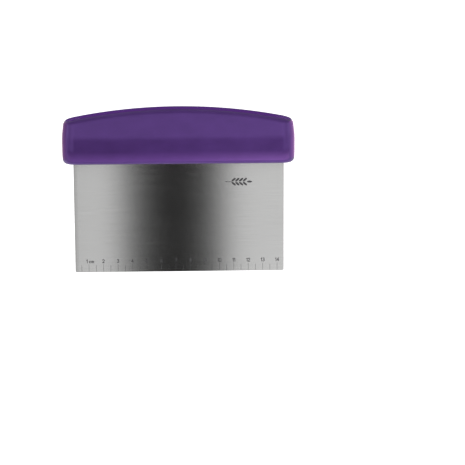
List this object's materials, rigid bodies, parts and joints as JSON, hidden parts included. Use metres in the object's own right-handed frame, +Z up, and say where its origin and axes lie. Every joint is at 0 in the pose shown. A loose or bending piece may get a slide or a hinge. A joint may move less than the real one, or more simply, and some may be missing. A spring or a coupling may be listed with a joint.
{
  "type": "bench scraper",
  "caption": "Bench scraper for cutting and lifting dough: a flat steel blade with a centimetre scale and a crowned soft-grip handle.",
  "frame": {"origin": "middle of the working edge, the lowest line of the blade", "axes": "+X along the working edge, +Z up from the edge to the handle; the face with the scale looks along -Y"},
  "size_m": [0.1582, 0.0254, 0.114],
  "materials": {
    "blade": "satin",
    "marking": "matte",
    "core": "matte",
    "rivet": "satin",
    "grip": "matte"
  },
  "bodies": {
    "root": {"blade": "blade", "scale_marks": "marking", "wheat_ear_mark": "marking", "core_front": "core", "core_rear": "core", "tang_rivets": "rivet", "grip_skin": "grip"}
  },
  "joints": []
}
